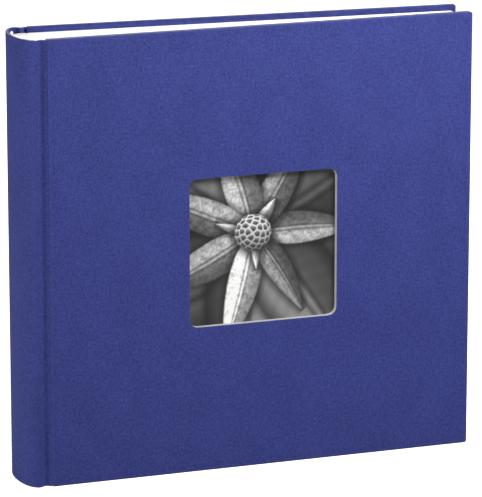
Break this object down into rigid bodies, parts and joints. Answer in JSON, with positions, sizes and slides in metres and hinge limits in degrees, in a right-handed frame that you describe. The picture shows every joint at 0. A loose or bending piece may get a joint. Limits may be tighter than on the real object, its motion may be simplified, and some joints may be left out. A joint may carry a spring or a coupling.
{
  "type": "scrapbook album",
  "caption": "Square book-bound scrapbook album: cloth case with rounded spine and grooved hinges, picture window in the front board, card leaves creased beside sewn stubs.",
  "frame": {"origin": "centre of the album's footprint, on the surface it stands on", "axes": "+X from the spine to the fore edge, +Y from the front cover to the back cover, +Z from the tail to the head"},
  "size_m": [0.3164, 0.0536, 0.3],
  "materials": {
    "cover_cloth": "matte",
    "greyboard": "matte",
    "spine_card": "matte",
    "print_paper": "satin",
    "endpaper": "matte",
    "leaf_card": "matte",
    "linen_tape": "matte",
    "mull_gauze": "matte",
    "kraft_paper": "matte",
    "linen_thread": "matte",
    "headband_silk": "satin",
    "interleaf": "satin"
  },
  "bodies": {
    "binding": {"spine_cloth": "cover_cloth", "spine_card": "spine_card", "front_joint_cloth": "cover_cloth", "back_joint_cloth": "cover_cloth", "guard_section_1": "leaf_card", "guard_section_2": "leaf_card", "guard_section_3": "leaf_card", "guard_section_4": "leaf_card", "guard_section_5": "leaf_card", "guard_section_6": "leaf_card", "mull_lining": "mull_gauze", "spine_liner": "kraft_paper", "headband": "headband_silk", "tailband": "headband_silk", "sewing_tape_lower": "linen_tape", "sewing_tape_middle": "linen_tape", "sewing_tape_upper": "linen_tape", "kettle_stitch_head": "linen_thread", "kettle_stitch_tail": "linen_thread"},
    "front_cover": {"front_cover_cloth": "cover_cloth", "front_board_window_ply": "greyboard", "front_board_pocket_ply": "greyboard", "window_print": "print_paper", "print_backing_card": "spine_card", "front_pastedown": "endpaper"},
    "back_cover": {"back_cover_cloth": "cover_cloth", "back_board": "greyboard", "back_pastedown": "endpaper"},
    "front_flyleaf": {"front_flyleaf": "endpaper"},
    "back_flyleaf": {"back_flyleaf": "endpaper"},
    "leaf_01": {"leaf_01": "leaf_card"},
    "leaf_02": {"leaf_02": "leaf_card"},
    "leaf_03": {"leaf_03": "leaf_card"},
    "leaf_04": {"leaf_04": "leaf_card"},
    "leaf_05": {"leaf_05": "leaf_card"},
    "leaf_06": {"leaf_06": "leaf_card"},
    "leaf_07": {"leaf_07": "leaf_card"},
    "leaf_08": {"leaf_08": "leaf_card"},
    "leaf_09": {"leaf_09": "leaf_card"},
    "leaf_10": {"leaf_10": "leaf_card"},
    "leaf_11": {"leaf_11": "leaf_card"},
    "leaf_12": {"leaf_12": "leaf_card"},
    "leaf_13": {"leaf_13": "leaf_card"},
    "leaf_14": {"leaf_14": "leaf_card"},
    "leaf_15": {"leaf_15": "leaf_card"},
    "leaf_16": {"leaf_16": "leaf_card"},
    "leaf_17": {"leaf_17": "leaf_card"},
    "leaf_18": {"leaf_18": "leaf_card"},
    "leaf_19": {"leaf_19": "leaf_card"},
    "leaf_20": {"leaf_20": "leaf_card"},
    "leaf_21": {"leaf_21": "leaf_card"},
    "leaf_22": {"leaf_22": "leaf_card"},
    "leaf_23": {"leaf_23": "leaf_card"},
    "leaf_24": {"leaf_24": "leaf_card"},
    "leaf_25": {"leaf_25": "leaf_card"},
    "leaf_26": {"leaf_26": "leaf_card"},
    "leaf_27": {"leaf_27": "leaf_card"},
    "leaf_28": {"leaf_28": "leaf_card"},
    "leaf_29": {"leaf_29": "leaf_card"},
    "leaf_30": {"leaf_30": "leaf_card"}
  },
  "joints": [
    {"name": "front_cover_open", "type": "hinge", "parent": "binding", "child": "front_cover", "pos_m": [-0.14375, -0.02725, 0], "axis": [0, 0, -1], "range_deg": [0, 180]},
    {"name": "back_cover_open", "type": "hinge", "parent": "binding", "child": "back_cover", "pos_m": [-0.14375, 0.02725, 0], "axis": [0, 0, 1], "range_deg": [0, 180]},
    {"name": "front_flyleaf_turn", "type": "hinge", "parent": "binding", "child": "front_flyleaf", "pos_m": [-0.13375, -0.01982, 0], "axis": [0, 0, -1], "range_deg": [0, 118]},
    {"name": "back_flyleaf_turn", "type": "hinge", "parent": "binding", "child": "back_flyleaf", "pos_m": [-0.13375, 0.02177, 0], "axis": [0, 0, 1], "range_deg": [0, 118]},
    {"name": "leaf_01_turn", "type": "hinge", "parent": "binding", "child": "leaf_01", "pos_m": [-0.13375, -0.01903, 0], "axis": [0, 0, -1], "range_deg": [0, 105]},
    {"name": "leaf_02_turn", "type": "hinge", "parent": "binding", "child": "leaf_02", "pos_m": [-0.13375, -0.01766, 0], "axis": [0, 0, -1], "range_deg": [0, 95.5]},
    {"name": "leaf_03_turn", "type": "hinge", "parent": "binding", "child": "leaf_03", "pos_m": [-0.13375, -0.01628, 0], "axis": [0, 0, -1], "range_deg": [0, 88]},
    {"name": "leaf_04_turn", "type": "hinge", "parent": "binding", "child": "leaf_04", "pos_m": [-0.13375, -0.0149, 0], "axis": [0, 0, -1], "range_deg": [0, 82]},
    {"name": "leaf_05_turn", "type": "hinge", "parent": "binding", "child": "leaf_05", "pos_m": [-0.13375, -0.01351, 0], "axis": [0, 0, -1], "range_deg": [0, 77.5]},
    {"name": "leaf_06_turn", "type": "hinge", "parent": "binding", "child": "leaf_06", "pos_m": [-0.13375, -0.01213, 0], "axis": [0, 0, -1], "range_deg": [0, 73.5]},
    {"name": "leaf_07_turn", "type": "hinge", "parent": "binding", "child": "leaf_07", "pos_m": [-0.13375, -0.01076, 0], "axis": [0, 0, -1], "range_deg": [0, 70]},
    {"name": "leaf_08_turn", "type": "hinge", "parent": "binding", "child": "leaf_08", "pos_m": [-0.13375, -0.00937, 0], "axis": [0, 0, -1], "range_deg": [0, 66.5]},
    {"name": "leaf_09_turn", "type": "hinge", "parent": "binding", "child": "leaf_09", "pos_m": [-0.13375, -0.008, 0], "axis": [0, 0, -1], "range_deg": [0, 63]},
    {"name": "leaf_10_turn", "type": "hinge", "parent": "binding", "child": "leaf_10", "pos_m": [-0.13375, -0.00662, 0], "axis": [0, 0, -1], "range_deg": [0, 60]},
    {"name": "leaf_11_turn", "type": "hinge", "parent": "binding", "child": "leaf_11", "pos_m": [-0.13375, -0.00524, 0], "axis": [0, 0, -1], "range_deg": [0, 57]},
    {"name": "leaf_12_turn", "type": "hinge", "parent": "binding", "child": "leaf_12", "pos_m": [-0.13375, -0.00385, 0], "axis": [0, 0, -1], "range_deg": [0, 54]},
    {"name": "leaf_13_turn", "type": "hinge", "parent": "binding", "child": "leaf_13", "pos_m": [-0.13375, -0.00248, 0], "axis": [0, 0, -1], "range_deg": [0, 51]},
    {"name": "leaf_14_turn", "type": "hinge", "parent": "binding", "child": "leaf_14", "pos_m": [-0.13375, -0.0011, 0], "axis": [0, 0, -1], "range_deg": [0, 48]},
    {"name": "leaf_15_turn", "type": "hinge", "parent": "binding", "child": "leaf_15", "pos_m": [-0.13375, 0.00028, 0], "axis": [0, 0, -1], "range_deg": [0, 45]},
    {"name": "leaf_16_turn", "type": "hinge", "parent": "binding", "child": "leaf_16", "pos_m": [-0.13375, 0.00167, 0], "axis": [0, 0, -1], "range_deg": [0, 42]},
    {"name": "leaf_17_turn", "type": "hinge", "parent": "binding", "child": "leaf_17", "pos_m": [-0.13375, 0.00304, 0], "axis": [0, 0, -1], "range_deg": [0, 39]},
    {"name": "leaf_18_turn", "type": "hinge", "parent": "binding", "child": "leaf_18", "pos_m": [-0.13375, 0.00443, 0], "axis": [0, 0, -1], "range_deg": [0, 36]},
    {"name": "leaf_19_turn", "type": "hinge", "parent": "binding", "child": "leaf_19", "pos_m": [-0.13375, 0.00581, 0], "axis": [0, 0, -1], "range_deg": [0, 33]},
    {"name": "leaf_20_turn", "type": "hinge", "parent": "binding", "child": "leaf_20", "pos_m": [-0.13375, 0.00719, 0], "axis": [0, 0, -1], "range_deg": [0, 30]},
    {"name": "leaf_21_turn", "type": "hinge", "parent": "binding", "child": "leaf_21", "pos_m": [-0.13375, 0.00856, 0], "axis": [0, 0, -1], "range_deg": [0, 27]},
    {"name": "leaf_22_turn", "type": "hinge", "parent": "binding", "child": "leaf_22", "pos_m": [-0.13375, 0.00995, 0], "axis": [0, 0, -1], "range_deg": [0, 24]},
    {"name": "leaf_23_turn", "type": "hinge", "parent": "binding", "child": "leaf_23", "pos_m": [-0.13375, 0.01132, 0], "axis": [0, 0, -1], "range_deg": [0, 21]},
    {"name": "leaf_24_turn", "type": "hinge", "parent": "binding", "child": "leaf_24", "pos_m": [-0.13375, 0.0127, 0], "axis": [0, 0, -1], "range_deg": [0, 18]},
    {"name": "leaf_25_turn", "type": "hinge", "parent": "binding", "child": "leaf_25", "pos_m": [-0.13375, 0.01409, 0], "axis": [0, 0, -1], "range_deg": [0, 15]},
    {"name": "leaf_26_turn", "type": "hinge", "parent": "binding", "child": "leaf_26", "pos_m": [-0.13375, 0.01546, 0], "axis": [0, 0, -1], "range_deg": [0, 12]},
    {"name": "leaf_27_turn", "type": "hinge", "parent": "binding", "child": "leaf_27", "pos_m": [-0.13375, 0.01684, 0], "axis": [0, 0, -1], "range_deg": [0, 9]},
    {"name": "leaf_28_turn", "type": "hinge", "parent": "binding", "child": "leaf_28", "pos_m": [-0.13375, 0.01823, 0], "axis": [0, 0, -1], "range_deg": [0, 6]},
    {"name": "leaf_29_turn", "type": "hinge", "parent": "binding", "child": "leaf_29", "pos_m": [-0.13375, 0.01961, 0], "axis": [0, 0, -1], "range_deg": [0, 3]},
    {"name": "leaf_30_turn", "type": "hinge", "parent": "binding", "child": "leaf_30", "pos_m": [-0.13375, 0.02099, 0], "axis": [0, 0, -1], "range_deg": [0, 1.5]}
  ],
  "couplings": [
    {"joint": "front_flyleaf_turn", "follows": "front_cover_open", "ratio": 0.65555},
    {"joint": "back_flyleaf_turn", "follows": "back_cover_open", "ratio": 0.65555},
    {"joint": "leaf_01_turn", "follows": "front_cover_open", "ratio": 0.58333},
    {"joint": "leaf_02_turn", "follows": "front_cover_open", "ratio": 0.53055},
    {"joint": "leaf_03_turn", "follows": "front_cover_open", "ratio": 0.48889},
    {"joint": "leaf_04_turn", "follows": "front_cover_open", "ratio": 0.45555},
    {"joint": "leaf_05_turn", "follows": "front_cover_open", "ratio": 0.43056},
    {"joint": "leaf_06_turn", "follows": "front_cover_open", "ratio": 0.40833},
    {"joint": "leaf_07_turn", "follows": "front_cover_open", "ratio": 0.38889},
    {"joint": "leaf_08_turn", "follows": "front_cover_open", "ratio": 0.36944},
    {"joint": "leaf_09_turn", "follows": "front_cover_open", "ratio": 0.35},
    {"joint": "leaf_10_turn", "follows": "front_cover_open", "ratio": 0.33333},
    {"joint": "leaf_11_turn", "follows": "front_cover_open", "ratio": 0.31667},
    {"joint": "leaf_12_turn", "follows": "front_cover_open", "ratio": 0.3},
    {"joint": "leaf_13_turn", "follows": "front_cover_open", "ratio": 0.28333},
    {"joint": "leaf_14_turn", "follows": "front_cover_open", "ratio": 0.26667},
    {"joint": "leaf_15_turn", "follows": "front_cover_open", "ratio": 0.25},
    {"joint": "leaf_16_turn", "follows": "front_cover_open", "ratio": 0.23333},
    {"joint": "leaf_17_turn", "follows": "front_cover_open", "ratio": 0.21667},
    {"joint": "leaf_18_turn", "follows": "front_cover_open", "ratio": 0.2},
    {"joint": "leaf_19_turn", "follows": "front_cover_open", "ratio": 0.18333},
    {"joint": "leaf_20_turn", "follows": "front_cover_open", "ratio": 0.16667},
    {"joint": "leaf_21_turn", "follows": "front_cover_open", "ratio": 0.15},
    {"joint": "leaf_22_turn", "follows": "front_cover_open", "ratio": 0.13333},
    {"joint": "leaf_23_turn", "follows": "front_cover_open", "ratio": 0.11667},
    {"joint": "leaf_24_turn", "follows": "front_cover_open", "ratio": 0.1},
    {"joint": "leaf_25_turn", "follows": "front_cover_open", "ratio": 0.083333},
    {"joint": "leaf_26_turn", "follows": "front_cover_open", "ratio": 0.066666},
    {"joint": "leaf_27_turn", "follows": "front_cover_open", "ratio": 0.05},
    {"joint": "leaf_28_turn", "follows": "front_cover_open", "ratio": 0.033333},
    {"joint": "leaf_29_turn", "follows": "front_cover_open", "ratio": 0.016666},
    {"joint": "leaf_30_turn", "follows": "front_cover_open", "ratio": 0.008333}
  ]
}
